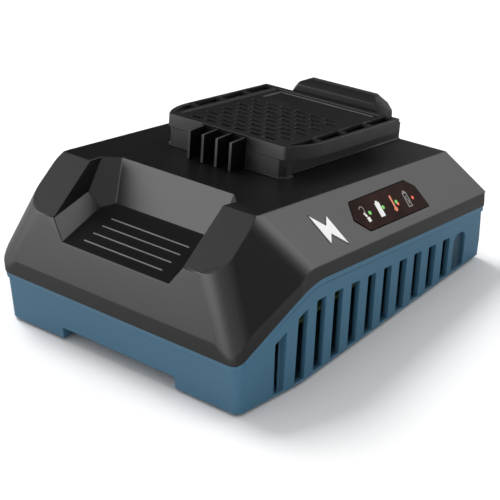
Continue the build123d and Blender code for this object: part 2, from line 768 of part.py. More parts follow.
# --- Battery dock ------------------------------------------------------------
def dock_outline(inset, rear):
    """Block with short ears at its front corners."""
    half = DOCK_HALF_W - inset
    ear = DOCK_EAR_HALF_W - inset
    right = [
        (half, DOCK_FRONT + inset),
        (ear, DOCK_FRONT + inset + DOCK_EAR),
        (ear, DOCK_FRONT + DOCK_EAR_L),
        (half, DOCK_FRONT + DOCK_EAR_L + DOCK_EAR_RUN),
        (half, rear),
    ]
    left = [(-x, y) for x, y in reversed(right)]
    return make_face(Polyline(*right, *left, close=True))


holder_room = block(both(HOLDER_HALF_W), (DOCK_FRONT - 1, DOCK_FRONT + HOLDER_T), (0, RIB_BACK_H))

dock = extrude(dock_outline(0.0, DOCK_REAR), amount=PLATE_FOOT)
dock = dock - extrude(dock_outline(WALL, DOCK_REAR - WALL), amount=PLATE_FOOT - WALL)
dock = dock + block(both(HOLDER_HALF_W + WALL), (DOCK_FRONT + 0.5, DOCK_FRONT + 4), (0, PLATE_FOOT))
flange = extrude(grown(dock_outline(0.0, DOCK_REAR), FLANGE), amount=FLANGE)
flange = flange - extrude(dock_outline(0.5, DOCK_REAR), amount=FLANGE)
flange = flange - block(far_x, (DOCK_REAR, DOCK_REAR + REACH), (0, FLANGE))
dock = dock + flange - holder_room
wire_run = (DOCK_FRONT + HOLDER_T - 0.5, DOCK_FRONT + 6)
dock = dock - block(both(WIRE_HALF_W), wire_run, (BLADE_H[0], PLATE_FOOT - WALL))
battery_dock = deck_frame * dock

rail_nose = ThreePointArc(
    (DOCK_EAR_HALF_W, DOCK_FRONT + 0.6),
    (RAIL_HALF_W - RAIL_NOSE_BULGE, DOCK_FRONT + RAIL_NOSE_L / 2 - 0.5),
    (RAIL_HALF_W, DOCK_FRONT + RAIL_NOSE_L),
)
plate_path = [
    Line((0, DOCK_FRONT), (DOCK_EAR_HALF_W - 1.2, DOCK_FRONT)),
    Line((DOCK_EAR_HALF_W - 1.2, DOCK_FRONT), (DOCK_EAR_HALF_W, DOCK_FRONT + 0.6)),
    rail_nose,
    Line((RAIL_HALF_W, DOCK_FRONT + RAIL_NOSE_L), (RAIL_HALF_W, PLATE_REAR)),
    Line((RAIL_HALF_W, PLATE_REAR), (0, PLATE_REAR)),
    Line((0, PLATE_REAR), (0, DOCK_FRONT)),
]
plate_half = make_face(plate_path)
plate_sheet = plate_half + mirror(plate_half, Plane.YZ)
plate = Pos(0, 0, PLATE_FOOT) * extrude(plate_sheet, amount=RAIL_T)
field_z = DOCK_H - PLATE_SINK
field_s = (DOCK_FRONT + PLATE_FRONT_RIM, PLATE_REAR - PLATE_REAR_RIM)
under_s = (field_s[0] + PLATE_RIM, field_s[1] - PLATE_RIM)
plate = plate - block(both(DOCK_HALF_W - PLATE_RIM), under_s, (PLATE_FOOT, field_z - PLATE_SKIN))
plate = plate - block(both(DOCK_HALF_W), field_s, (field_z, DOCK_H + 1))
panel_s = (PLATE_REAR - PANEL_REAR_IN - PANEL_L, PLATE_REAR - PANEL_REAR_IN)
plate = plate - block(both(PANEL_HALF_W), panel_s, (field_z - PANEL_SINK, DOCK_H + 1))
brick = Box(BRICK_L, BRICK_W, 2 * DOCK_H)
for row in range(BRICK_ROWS):
    s = DOCK_FRONT + BRICK_FIRST_IN + row * BRICK_PITCH_S
    shift = BRICK_PITCH_X / 4 if row % 2 else -BRICK_PITCH_X / 4
    for col in range(BRICK_COLS):
        x = (col - (BRICK_COLS - 1) / 2) * BRICK_PITCH_X + shift
        plate = plate - Pos(x, s, DOCK_H) * brick
inside_rim = Pos(0, 0, DOCK_H - RIM_SLOT_DEPTH) * extrude(
    offset(plate_sheet, -RIM_SLOT_EDGE, kind=Kind.INTERSECTION), amount=RIM_SLOT_DEPTH + 1
)
rim_x = (RAIL_HALF_W - RIM_SLOT_EDGE - RIM_SLOT_W, RAIL_HALF_W)
for i in range(RIM_SLOT_COUNT):
    rear = PLATE_REAR - RIM_SLOT_REAR_IN - i * RIM_SLOT_PITCH
    rim_slot = block(rim_x, (rear - RIM_SLOT_L, rear), (0, TALL)) & inside_rim
    plate = plate - rim_slot - mirror(rim_slot, Plane.YZ)
dock_plate = deck_frame * (plate - holder_room)

# Terminal comb: four ribs on a back plate let into the dock's front face
RIB_FRONT = DOCK_FRONT - RIB_L
comb_top = RIB_BACK_H - HOLDER_GAP
comb = block(both(HOLDER_HALF_W - HOLDER_GAP), (DOCK_FRONT, DOCK_FRONT + HOLDER_T), (0, comb_top))
rib_points = [
    (RIB_FRONT, RIB_FOOT_GAP),
    (RIB_FRONT, RIB_FRONT_H),
    (DOCK_FRONT, comb_top),
    (DOCK_FRONT, RIB_FOOT_GAP),
]
rib = extrude(Plane.YZ * make_face(Polyline(*rib_points, close=True)), amount=RIB_T / 2, both=True)
rib_x = [(i - (RIB_COUNT - 1) / 2) * RIB_PITCH for i in range(RIB_COUNT)]
for x in rib_x:
    comb = comb + Pos(x, 0, 0) * rib
blades = []
blade_s = (RIB_FRONT + BLADE_SETBACK, DOCK_FRONT + HOLDER_T + BLADE_TAIL)
for x in rib_x:
    blade = block((x - RIB_T / 2, x - RIB_T / 2 + BLADE_T), blade_s, BLADE_H)
    comb = comb - blade
    blades.append(deck_frame * blade)
terminal_holder = deck_frame * comb
for blade in blades:
    battery_dock = battery_dock - blade

# Raised stop behind the plate: an end profile drawn out along the dock
stop_right = [
    (STOP_FOOT_W, PLATE_FOOT),
    (STOP_KNEE_W, STOP_KNEE_H),
    (STOP_SHOULDER_W, STOP_SHOULDER_H),
    (STOP_RIDGE_W, STOP_H),
]
stop_points = stop_right + [(-x, h) for x, h in reversed(stop_right)]
stop_profile = make_face(Polyline(*stop_points, close=True))
stop = Pos(0, STOP_FRONT, 0) * extrude(Plane.XZ * stop_profile, amount=-STOP_T)
stop_middle = (0, STOP_FRONT + STOP_T / 2, PLATE_FOOT)
stop_brow = (0, STOP_FRONT + STOP_BROW_D, STOP_BROW_H)
stop_face_top = (0, STOP_FRONT, STOP_SHOULDER_H)
stop_corner = face_through(
    (STOP_CHAMFER_TOP_W, STOP_FRONT, STOP_SHOULDER_H),
    (STOP_CHAMFER_LOW_W, STOP_FRONT, STOP_CHAMFER_LOW_H),
    (STOP_KNEE_W, STOP_FRONT + STOP_CHAMFER_D, STOP_KNEE_H),
    stop_middle,
)
stop_faces = [
    face_through(stop_face_top, beside(stop_face_top), stop_brow, stop_middle),
    face_through(stop_brow, beside(stop_brow), (0, STOP_BACK, STOP_H), stop_middle),
    stop_corner,
    mirrored(stop_corner),
]
stop_block = deck_frame * trimmed(stop, stop_faces)

# --- Status lights --------------------------------------------------------------
leds = []
guides = []
guide_top = -(LENS_T - LENS_PROUD) - LED_GAP
guide_foot = guide_top - GUIDE_L
led_top = guide_foot - LED_GAP
led_foot = led_top - LED_SIZE[2]
for i in range(LED_COUNT):
    u = LENS_U[0] + LED_FIRST_IN + i * LED_PITCH
    chip = block(span(u, LED_SIZE[0]), span(-LED_V, LED_SIZE[1]), (led_foot, led_top))
    leds.append(side_frame * chip)
    guides.append(side_frame * rod(GUIDE_R, GUIDE_L, (u, -LED_V, guide_foot)))
led_run = (LENS_U[0] + LENS_LEDGE, LENS_U[1] - LENS_REAR_CUT[0])
led_board_room = block(led_run, span(-LED_V, 2 * LED_BOARD_HALF_V), (led_foot - LED_BOARD_T, led_foot))
led_board = side_frame * led_board_room

# --- Main board and parts on it ---------------------------------------------------
TOP_Z = BOSS_TOP + BOARD_T
main_board = block(both(BOARD_HALF_W), BOARD_Y, (BOSS_TOP, TOP_Z))
board_screws = []
for x in both(BOSS_X):
    for y in BOSS_Y:
        main_board = main_board - rod(SCREW_R + FIT_GAP, BOARD_T, (x, y, BOSS_TOP))
        board_screws.append(screw(x, y, TOP_Z, BOARD_SCREW_L, -1))


def from_rear(distance):
    return BOARD_Y[1] - distance


def from_front(distance):
    return BOARD_Y[0] + distance


# Transformer: an E-core on a bobbin with its taped winding
core_y = from_rear(CORE_FROM_REAR)
core_low = TOP_Z + BOBBIN_H
window_z = (core_low + CORE_LIMB, core_low + CORE_SIZE[2] - CORE_LIMB)
ferrite = block(span(CORE_X, CORE_SIZE[0]), span(core_y, CORE_SIZE[1]), (core_low, core_low + CORE_SIZE[2]))
window = block(span(CORE_X, CORE_SIZE[0] - 2 * CORE_LIMB), span(core_y, CORE_SIZE[1] + 2), window_z)
leg = block(span(CORE_X, CORE_LEG_W), span(core_y, CORE_SIZE[1]), window_z)
transformer_core = ferrite - window + leg
coil_w = CORE_SIZE[0] - 2 * (CORE_LIMB + COIL_GAP)
coil_z = (window_z[0] + COIL_GAP, window_z[1] - COIL_GAP)
coil = block(span(CORE_X, coil_w), span(core_y, CORE_SIZE[1] + 2 * COIL_OUT), coil_z)
coil = fillet(coil.edges().filter_by(Axis.Z), COIL_R)
coil_hole = block(
    span(CORE_X, CORE_LEG_W + 2 * COIL_GAP),
    span(core_y, CORE_SIZE[1] + 2 * COIL_GAP),
    (TOP_Z, window_z[1]),
)
transformer_winding = coil - coil_hole
transformer_bobbin = block(
    span(CORE_X, CORE_SIZE[0] - 2 * BOBBIN_IN),
    span(core_y, CORE_SIZE[1] + 2 * BOBBIN_OUT),
    (TOP_Z, core_low),
)


def can(size, x, y):
    """Upright electrolytic capacitor with a crimped groove near its foot."""
    radius, height = size
    body = rod(radius, height, (x, y, TOP_Z))
    groove_foot = (x, y, TOP_Z + CAN_GROOVE_Z)
    ring = rod(radius + 1, CAN_GROOVE_H, groove_foot)
    ring = ring - rod(radius - CAN_GROOVE_DEPTH, CAN_GROOVE_H, groove_foot)
    return fillet((body - ring).edges().sort_by(Axis.Z)[-1], CAN_GROOVE_H)


mains_capacitor = can(MAINS_CAN, BOARD_HALF_W - MAINS_CAN_FROM_SIDE, from_rear(MAINS_CAN_FROM_REAR))
output_y = from_front(OUTPUT_CAN_FROM_FRONT)
output_x = [OUTPUT_CAN_FIRST_X + i * OUTPUT_CAN_PITCH for i in range(OUTPUT_CAN_COUNT)]
output_capacitors = group([can(OUTPUT_CAN, x, output_y) for x in output_x])


def heat_sink(x, y, length, side):
    """Upright plate along Y with fins on one side."""
    run = span(y, length)
    sink = block(span(x, SINK_T), run, (TOP_Z, TOP_Z + SINK_H))
    fin_pitch = (SINK_H - 1.5 * FIN_FIRST_Z) / (SINK_FINS - 1)
    reach = sorted((x + side * SINK_T / 2, x + side * (SINK_T / 2 + FIN_OUT)))
    for i in range(SINK_FINS):
        sink = sink + block(reach, run, span(TOP_Z + FIN_FIRST_Z + i * fin_pitch, FIN_T))
    return sink


def transistor(x, y, side):
    """Flat package against a heat sink, on three legs."""
    depth, width, height = TRANSISTOR_SIZE
    face = x + side * (SINK_T / 2 + TRANSISTOR_GAP)
    foot = TOP_Z + TRANSISTOR_Z
    package = block(sorted((face, face + side * depth)), span(y, width), (foot, foot + height))
    lead = sorted((face + side * LEAD_IN, face + side * (LEAD_IN + LEAD_T)))
    for shift in (-LEAD_PITCH, 0, LEAD_PITCH):
        package = package + block(lead, span(y + shift, LEAD_W), (TOP_Z, foot + LEAD_T))
    return package


primary_y = from_rear(PRIMARY_SINK_FROM_REAR)
secondary_y = from_front(SECONDARY_SINK_FROM_FRONT)
primary_heat_sink = heat_sink(PRIMARY_SINK_X, primary_y, PRIMARY_SINK_L, -1)
secondary_heat_sink = heat_sink(SECONDARY_SINK_X, secondary_y, SECONDARY_SINK_L, 1)
transistors = []
for x, y, side in ((PRIMARY_SINK_X, primary_y, 1), (SECONDARY_SINK_X, secondary_y, -1)):
    for shift in both(TRANSISTOR_SPREAD):
        transistors.append(transistor(x, y + shift, side))

choke_z = TOP_Z + CHOKE_R + CHOKE_RING_R + CHOKE_LIFT
noise_choke = Location((CHOKE_X, from_rear(CHOKE_FROM_REAR), choke_z), (90, 0, 0)) * Torus(CHOKE_R, CHOKE_RING_R)
fuse_x = BOARD_HALF_W - FUSE_FROM_SIDE
fuse_y = from_rear(FUSE_FROM_REAR)
fuse_z = TOP_Z + FUSE_LIFT
fuse = rod(FUSE_R, FUSE_L, (fuse_x, fuse_y, fuse_z), "y")
for y in (fuse_y, fuse_y + FUSE_L - FUSE_CAP_L):
    fuse = fuse + rod(FUSE_CAP_R, FUSE_CAP_L, (fuse_x, y, fuse_z), "y")
film_y = from_rear(FILM_FROM_REAR)
film = block(span(FILM_X, FILM_SIZE[0]), span(film_y, FILM_SIZE[1]), (TOP_Z, TOP_Z + FILM_SIZE[2]))
film_capacitor = fillet(film.edges().filter_by(Axis.Z), FILM_R)

# --- Fan --------------------------------------------------------------------------
fan_left = FAN_X - FAN_T / 2
frame = block(span(FAN_X, FAN_T), span(FAN_Y, FAN_SIZE), span(FAN_Z, FAN_SIZE))
frame = fillet(frame.edges().filter_by(Axis.X), FAN_CORNER_R)
frame = frame - rod(FAN_BORE_R, FAN_T, (fan_left, FAN_Y, FAN_Z), "x")
hole_out = FAN_SIZE / 2 - FAN_HOLE_IN
for y in both(hole_out):
    for z in both(hole_out):
        frame = frame - rod(FAN_HOLE_R, FAN_T, (fan_left, FAN_Y + y, FAN_Z + z), "x")
carrier_x = FAN_X + FAN_T / 2 - CARRIER_T
carrier = rod(HUB_R, CARRIER_T, (carrier_x, FAN_Y, FAN_Z), "x")
for i in range(3):
    arm = block((0, CARRIER_T), both(CARRIER_ARM / 2), (0, FAN_BORE_R + 0.5))
    carrier = carrier + Pos(carrier_x, FAN_Y, FAN_Z) * Rot(90 + 120 * i, 0, 0) * arm
fan_frame = frame + carrier - rod(SHAFT_R + RUNNING_FIT, 2 * CARRIER_T, (carrier_x - 1, FAN_Y, FAN_Z), "x")

hub_x = fan_left + ROTOR_FACE_GAP
hub_l = FAN_T - CARRIER_T - ROTOR_FACE_GAP - ROTOR_BACK_GAP
fan_rotor = rod(HUB_R, hub_l, (hub_x, FAN_Y, FAN_Z), "x")
fan_rotor = fan_rotor + rod(SHAFT_R, hub_l + CARRIER_T, (hub_x, FAN_Y, FAN_Z), "x")
blade_root = HUB_R - 1.0
blade_form = Box(BLADE_CHORD, BLADE_THICK, ROTOR_R - blade_root)
blade_form = Pos(0, 0, (ROTOR_R + blade_root) / 2) * Rot(0, 0, BLADE_PITCH_DEG) * blade_form
sweep = rod(ROTOR_R, hub_l, (hub_x, FAN_Y, FAN_Z), "x")
for i in range(BLADE_COUNT):
    turned = Pos(hub_x + hub_l / 2, FAN_Y, FAN_Z) * Rot(360 * i / BLADE_COUNT, 0, 0) * blade_form
    fan_rotor = fan_rotor + (turned & sweep)

# --- Mains inlet ---------------------------------------------------------------------
ac_inlet = block(inlet_x, (INLET_FRONT_Y, INLET_Y), inlet_z)
socket = block(span(INLET_X, SOCKET_W), (INLET_Y - SOCKET_L, INLET_Y + 1), span(INLET_Z, SOCKET_H))
ac_inlet = ac_inlet - fillet(socket.edges().filter_by(Axis.Y), SOCKET_H / 2 - 0.1)
pins = []
for x in both(PIN_SPACING / 2):
    foot = (INLET_X + x, INLET_Y - SOCKET_L - PIN_TAIL, INLET_Z)
    pin = rod(PIN_R, PIN_L + PIN_TAIL, foot, "y")
    pin = fillet(pin.edges().sort_by(Axis.Y)[-1], PIN_TIP_R)
    ac_inlet = ac_inlet - pin
    pins.append(pin)

# --- Parts list ---------------------------------------------------------------------------
PARTS = {
    "base_housing": base,
    "upper_shell": shell,
    "battery_dock": battery_dock,
    "dock_plate": dock_plate,
    "stop_block": stop_block,
    "terminal_holder": terminal_holder,
    "contact_blades": group(blades),
    "scoop_louvre": group(bars),
    "led_window": lens,
    "light_guides": group(guides),
    "status_leds": group(leds),
    "led_board": led_board,
    "side_inlay": inlay,
    "main_board": main_board,
    "transformer_core": transformer_core,
    "transformer_winding": transformer_winding,
    "transformer_bobbin": transformer_bobbin,
    "mains_capacitor": mains_capacitor,
    "output_capacitors": output_capacitors,
    "primary_heat_sink": primary_heat_sink,
    "secondary_heat_sink": secondary_heat_sink,
    "power_transistors": group(transistors),
    "noise_choke": noise_choke,
    "fuse": fuse,
    "film_capacitor": film_capacitor,
    "fan_frame": fan_frame,
    "fan_rotor": fan_rotor,
    "ac_inlet": ac_inlet,
    "inlet_pins": group(pins),
    "housing_screws": group(housing_screws),
    "board_screws": group(board_screws),
    **feet,
}
for name, solid in PARTS.items():
    export_step(solid, f"parts/{name}.step")
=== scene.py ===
import math

import bmesh
import bpy
from mathutils import Matrix, Vector


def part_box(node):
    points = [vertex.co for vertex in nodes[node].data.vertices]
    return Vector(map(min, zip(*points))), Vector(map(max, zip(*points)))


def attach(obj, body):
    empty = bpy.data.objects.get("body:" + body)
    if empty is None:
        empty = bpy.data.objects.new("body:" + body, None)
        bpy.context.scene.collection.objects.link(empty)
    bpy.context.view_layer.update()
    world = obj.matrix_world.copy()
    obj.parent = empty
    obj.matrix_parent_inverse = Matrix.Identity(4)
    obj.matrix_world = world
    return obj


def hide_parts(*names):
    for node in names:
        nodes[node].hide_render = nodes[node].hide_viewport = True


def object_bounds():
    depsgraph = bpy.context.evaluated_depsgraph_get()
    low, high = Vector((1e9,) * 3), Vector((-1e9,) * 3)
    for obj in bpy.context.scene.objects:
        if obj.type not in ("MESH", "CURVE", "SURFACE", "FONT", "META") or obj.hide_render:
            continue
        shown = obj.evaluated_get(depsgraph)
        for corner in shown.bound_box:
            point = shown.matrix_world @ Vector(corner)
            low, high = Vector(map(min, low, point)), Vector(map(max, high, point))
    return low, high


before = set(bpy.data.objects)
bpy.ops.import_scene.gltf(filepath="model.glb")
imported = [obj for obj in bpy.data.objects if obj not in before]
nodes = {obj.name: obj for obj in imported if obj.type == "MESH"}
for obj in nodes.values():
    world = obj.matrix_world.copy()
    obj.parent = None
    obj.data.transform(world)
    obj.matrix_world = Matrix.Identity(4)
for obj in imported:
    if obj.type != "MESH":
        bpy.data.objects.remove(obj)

cad_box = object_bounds()
scene = bpy.context.scene
MM = 0.001


# ---------------------------------------------------------------------------
# Lower housing: one injection moulding in steel-blue glass-filled plastic with
# a fine spark-eroded grain, slots down both flanks and a finger notch in front.
# Its edges have the small radius that such a tool leaves.
def srgb(r, g, b):
    """Linear colour from 0 to 255 screen values."""
    lin = [((v / 255 + 0.055) / 1.055) ** 2.4 if v > 10 else v / 255 / 12.92 for v in (r, g, b)]
    return (*lin, 1.0)


def math_node(tree, operation, a, b=None, c=None, clamp=False):
    """Math node fed by sockets or plain numbers; returns its output."""
    node = tree.nodes.new("ShaderNodeMath")
    node.operation = operation
    node.use_clamp = clamp
    for socket, value in zip(node.inputs, (a, b, c)):
        if value is None:
            continue
        if isinstance(value, (int, float)):
            socket.default_value = value
        else:
            tree.links.new(value, socket)
    return node.outputs[0]


def ramp_node(tree, value, low, high, to_low=0.0, to_high=1.0):
    """Smooth step of a value between two limits."""
    node = tree.nodes.new("ShaderNodeMapRange")
    node.interpolation_type = "SMOOTHSTEP"
    tree.links.new(value, node.inputs["Value"])
    limits = {"From Min": low, "From Max": high, "To Min": to_low, "To Max": to_high}
    for name, limit in limits.items():
        if isinstance(limit, (int, float)):
            node.inputs[name].default_value = limit
        else:
            tree.links.new(limit, node.inputs[name])
    return node.outputs["Result"]


def noise_node(tree, scale, detail=3.0):
    """Noise in object coordinates."""
    node = tree.nodes.new("ShaderNodeTexNoise")
    node.inputs["Detail"].default_value = detail
    place = tree.nodes.new("ShaderNodeTexCoord").outputs["Object"]
    tree.links.new(place, node.inputs["Vector"])
    if isinstance(scale, (int, float)):
        node.inputs["Scale"].default_value = scale
    else:
        tree.links.new(scale, node.inputs["Scale"])
    return node.outputs["Fac"]


def new_group(name, inputs, outputs):
    """Empty shader group with number sockets."""
    tree = bpy.data.node_groups.new(name, "ShaderNodeTree")
    for label, default in inputs:
        socket = tree.interface.new_socket(label, in_out="INPUT", socket_type="NodeSocketFloat")
        socket.default_value = default
    for label in outputs:
        tree.interface.new_socket(label, in_out="OUTPUT", socket_type="NodeSocketFloat")
    given = tree.nodes.new("NodeGroupInput").outputs
    out = tree.nodes.new("NodeGroupOutput").inputs
    return tree, given, out


GRAIN_SIZE = 2500.0
GRAIN_HEIGHT = 0.02 * MM
GRAIN_STRENGTH = 0.5
GRAIN_DULLS = 0.35
DRIFT_SIZE = 18.0
DRIFT_DETAIL = 4.0


def grain_group():
    """Fine moulded grain, with a slow drift of tone over the part."""
    inputs = (("Grain size", GRAIN_SIZE), ("Drift size", DRIFT_SIZE), ("Drift", 0.5))
    tree, given, out = new_group("Moulded grain", inputs, ("Height", "Tone", "Dull"))
    fine = noise_node(tree, given["Grain size"])
    slow = noise_node(tree, given["Drift size"], DRIFT_DETAIL)
    centred = math_node(tree, "SUBTRACT", slow, 0.5)
    drift = math_node(tree, "MULTIPLY_ADD", centred, given["Drift"], 0.5, clamp=True)
    tree.links.new(fine, out["Height"])
    tree.links.new(drift, out["Tone"])
    tree.links.new(math_node(tree, "MULTIPLY_ADD", fine, GRAIN_DULLS, drift), out["Dull"])
    return tree


def wear_and_highlight_group():
    """Edge wear, which also stands for a painted highlight along the edges, broken up so that it
    is no even line.
    """
    inputs = (("Start", 0.52), ("End", 0.62), ("Break-up size", 120.0))
    tree, given, out = new_group("Edge wear and highlight", inputs, ("Mask",))
    bend = tree.nodes.new("ShaderNodeNewGeometry").outputs["Pointiness"]
    edge = ramp_node(tree, bend, given["Start"], given["End"])
    patches = noise_node(tree, given["Break-up size"])
    tree.links.new(math_node(tree, "MULTIPLY", edge, patches), out["Mask"])
    return tree


def upward_group():
    """Faces that look up, for a painted shade that keeps them darker than the light on them would.
    """
    inputs = (("Start", 0.93), ("End", 0.975))
    tree, given, out = new_group("Painted top shade", inputs, ("Mask",))
    facing = tree.nodes.new("ShaderNodeSeparateXYZ")
    tree.links.new(tree.nodes.new("ShaderNodeNewGeometry").outputs["Normal"], facing.inputs[0])
    looks_up = ramp_node(tree, facing.outputs["Z"], given["Start"], given["End"])
    tree.links.new(looks_up, out["Mask"])
    return tree


moulded_grain = grain_group()
wear_and_highlight = wear_and_highlight_group()
painted_top_shade = upward_group()


def use_group(tree, group, **values):
    """Places a group with its own values; returns its outputs."""
    node = tree.nodes.new("ShaderNodeGroup")
    node.node_tree = group
    for label, value in values.items():
        node.inputs[label.replace("_", " ")].default_value = value
    return node.outputs


def mixed(tree, share, first, second, blend="MIX"):
    """Colour mix of sockets or plain colours."""
    node = tree.nodes.new("ShaderNodeMix")
    node.data_type = "RGBA"
    node.blend_type = blend
    tree.links.new(share, node.inputs[0])
    for socket, value in ((node.inputs[6], first), (node.inputs[7], second)):
        if isinstance(value, tuple):
            socket.default_value = value
        else:
            tree.links.new(value, socket)
    return node.outputs[2]


def moulded(name, dark, light, edge, dull=(0.42, 0.55), depth=GRAIN_HEIGHT,
            specular=0.4, metallic=0.0, top=None, shade=None):
    """Finish with grain, a drift of tone from dark to light, and rubbed edges that also carry a
    painted highlight;
    top is a painted shade colour for faces that look up, and shade paints shade into the colour in
    places."""
    mat = bpy.data.materials.new(name)
    mat.use_nodes = True
    tree = mat.node_tree
    shader = tree.nodes["Principled BSDF"]
    texture = use_group(tree, moulded_grain, Grain_size=GRAIN_SIZE, Drift_size=DRIFT_SIZE)
    colour = mixed(tree, texture["Tone"], dark, light)
    # Faces that look up take the top colour: painted shade.
    if top:
        colour = mixed(tree, use_group(tree, painted_top_shade)["Mask"], colour, top)
    if shade:
        colour = shade(tree, colour)
    # Sharp edges turn to the edge colour: wear, and a painted highlight along the edges.
    colour = mixed(tree, use_group(tree, wear_and_highlight)["Mask"], colour, edge)
    tree.links.new(colour, shader.inputs["Base Color"])
    rough = ramp_node(tree, texture["Dull"], 0.0, 1.0 + GRAIN_DULLS, *dull)
    tree.links.new(rough, shader.inputs["Roughness"])
    bump = tree.nodes.new("ShaderNodeBump")
    bump.inputs["Strength"].default_value = GRAIN_STRENGTH
    bump.inputs["Distance"].default_value = depth
    tree.links.new(texture["Height"], bump.inputs["Height"])
    tree.links.new(bump.outputs["Normal"], shader.inputs["Normal"])
    shader.inputs["Specular IOR Level"].default_value = specular
    shader.inputs["Metallic"].default_value = metallic
    return mat


def baked(holder, name, mat):
    """Plain mesh of an object as its modifiers leave it; the holder is removed."""
    bpy.context.view_layer.update()
    evaluated = holder.evaluated_get(bpy.context.evaluated_depsgraph_get())
    mesh = bpy.data.meshes.new_from_object(evaluated)
    mesh.name = name
    bpy.data.objects.remove(holder)
    mesh.materials.clear()
    mesh.materials.append(mat)
    piece = bpy.data.objects.new(name, mesh)
    scene.collection.objects.link(piece)
    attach(piece, "charger")
    return piece


MERGE_WITHIN = 0.002 * MM
SHARP_BEND = math.radians(28)
SLIGHT_BEND = math.radians(9)
LEAN_BEND = math.radians(3.8)
LEAN_SPREAD = math.radians(0.3)
LEVEL_BEND = math.radians(1)
BROAD_FACE = 60 * MM * MM


def flat_areas(work):
    """Area of the flat face that each triangle belongs to."""
    areas = {}
    for seed in work.faces:
        if seed in areas:
            continue
        patch = {seed}
        waiting = [seed]
        while waiting:
            for edge in waiting.pop().edges:
                if len(edge.link_faces) == 2 and edge.calc_face_angle(math.pi) < LEVEL_BEND:
                    fresh = set(edge.link_faces) - patch
                    patch |= fresh
                    waiting.extend(fresh)
        total = sum(face.calc_area() for face in patch)
        areas.update((face, total) for face in patch)
    return areas


def softened(node, radius, mat):
    """Copy of a CAD node with rounded edges, in place of the node: all its sharp
    edges, and the slight bends where two broad faces meet. The bend where the
    rear wall's draft meets its lean stays crisp. No vertex leaves the node's box."""
    work = bmesh.new()
    work.from_mesh(nodes[node].data)
    bmesh.ops.remove_doubles(work, verts=work.verts, dist=MERGE_WITHIN)
    areas = flat_areas(work)
    weight = work.edges.layers.float.new("bevel_weight_edge")
    for edge in work.edges:
        if len(edge.link_faces) < 2:
            continue
        bend = edge.calc_face_angle(0.0)
        broad = min(areas[face] for face in edge.link_faces) > BROAD_FACE
        edge[weight] = float(bend > SHARP_BEND or (broad and bend > SLIGHT_BEND))
        edge.smooth = abs(bend - LEAN_BEND) > LEAN_SPREAD
    for face in work.faces:
        face.smooth = True
    clean = bpy.data.meshes.new("holder")
    work.to_mesh(clean)
    work.free()
    holder = bpy.data.objects.new("holder", clean)
    scene.collection.objects.link(holder)
    bevel = holder.modifiers.new("edges", "BEVEL")
    bevel.width = radius
    bevel.segments = 2
    bevel.limit_method = "WEIGHT"
    bevel.use_clamp_overlap = False
    bevel.miter_outer = "MITER_ARC"
    weighted = holder.modifiers.new("normals", "WEIGHTED_NORMAL")
    weighted.keep_sharp = True
    piece = baked(holder, node + "_moulded", mat)
    low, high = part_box(node)
    for vertex in piece.data.vertices:
        vertex.co = [min(max(c, a), b) for c, a, b in zip(vertex.co, low, high)]
    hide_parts(node)
    return piece


half_w = cad_box[1][0]
front_y = cad_box[0][1]
HOUSING_EDGE = 0.35 * MM
NOSE_TAPER = 4.8 * MM
FLARE_BACK = 31.0 * MM
# Shade in the slots: its depth from the wall, and where it comes in and goes out
SLOT_MOUTH = 1.9 * MM
SLOT_INNER = 4.6 * MM
SHADE_FROM_NOSE = (9 * MM, 12 * MM)
SHADE_FROM_REAR = (9 * MM, 6 * MM)
SLOT_SHADE = (0.16, 0.176, 0.176, 1.0)
# The last slot is blind: a recess with a floor
END_SLOT_Y = 61.0 * MM
END_SLOT_W = 10.0 * MM
BLIND_FLOOR = 2.6 * MM
BLIND_SHADE = 0.7


def shade_in_slots(tree, colour):
    """Painted shade deep in the side slots, away from the front and rear walls, and on the floor
    of the blind last slot.
    """
    place = tree.nodes.new("ShaderNodeSeparateXYZ")
    tree.links.new(tree.nodes.new("ShaderNodeTexCoord").outputs["Object"], place.inputs[0])
    x, y = place.outputs["X"], place.outputs["Y"]
    run = math_node(tree, "SUBTRACT", y, front_y)
    nose = math_node(tree, "DIVIDE", run, FLARE_BACK, clamp=True)
    wall = math_node(tree, "MULTIPLY_ADD", nose, NOSE_TAPER, half_w - NOSE_TAPER)
    depth = math_node(tree, "SUBTRACT", wall, math_node(tree, "ABSOLUTE", x))
    deep = ramp_node(tree, depth, SLOT_MOUTH, SLOT_INNER)
    flank = ramp_node(tree, run, *SHADE_FROM_NOSE)
    fade_from, fade_to = (-front_y - inward for inward in SHADE_FROM_REAR)
    back = ramp_node(tree, y, fade_from, fade_to, 1.0, 0.0)
    share = math_node(tree, "MULTIPLY", math_node(tree, "MULTIPLY", deep, flank), back)
    beside_end = math_node(tree, "ABSOLUTE", math_node(tree, "SUBTRACT", y, END_SLOT_Y))
    in_end = math_node(tree, "LESS_THAN", beside_end, END_SLOT_W / 2)
    blind = ramp_node(tree, depth, SLOT_MOUTH, BLIND_FLOOR, 0.0, BLIND_SHADE)
    share = math_node(tree, "MAXIMUM", share, math_node(tree, "MULTIPLY", blind, in_end))
    return mixed(tree, share, colour, SLOT_SHADE, "MULTIPLY")


# Deep in the side slots the blue is darkened: painted shade.
housing_blue = moulded("housing blue", srgb(60, 101, 126), srgb(68, 111, 136),
                       srgb(110, 140, 158), specular=0.32, shade=shade_in_slots)
softened("base_housing", HOUSING_EDGE, housing_blue)


# ---------------------------------------------------------------------------
# Feet and screws: soft rubber discs pushed into shallow pockets, and
# zinc-plated cross-head screws from below and through the board.
def dress(mat, *names):
    """Gives CAD nodes a finish by their own material slots."""
    for name in names:
        for slot in nodes[name].material_slots:
            slot.material = mat


foot_rubber = moulded("foot rubber", srgb(22, 22, 23), srgb(30, 30, 31), srgb(48, 48, 48),
                      dull=(0.7, 0.85))
dress(foot_rubber, "foot_front_left", "foot_front_right", "foot_rear_left", "foot_rear_right")
screw_zinc = moulded("zinc plate", srgb(150, 152, 154), srgb(176, 178, 180),
                     srgb(210, 210, 210), dull=(0.28, 0.4), metallic=1.0)
dress(screw_zinc, "housing_screws", "board_screws")

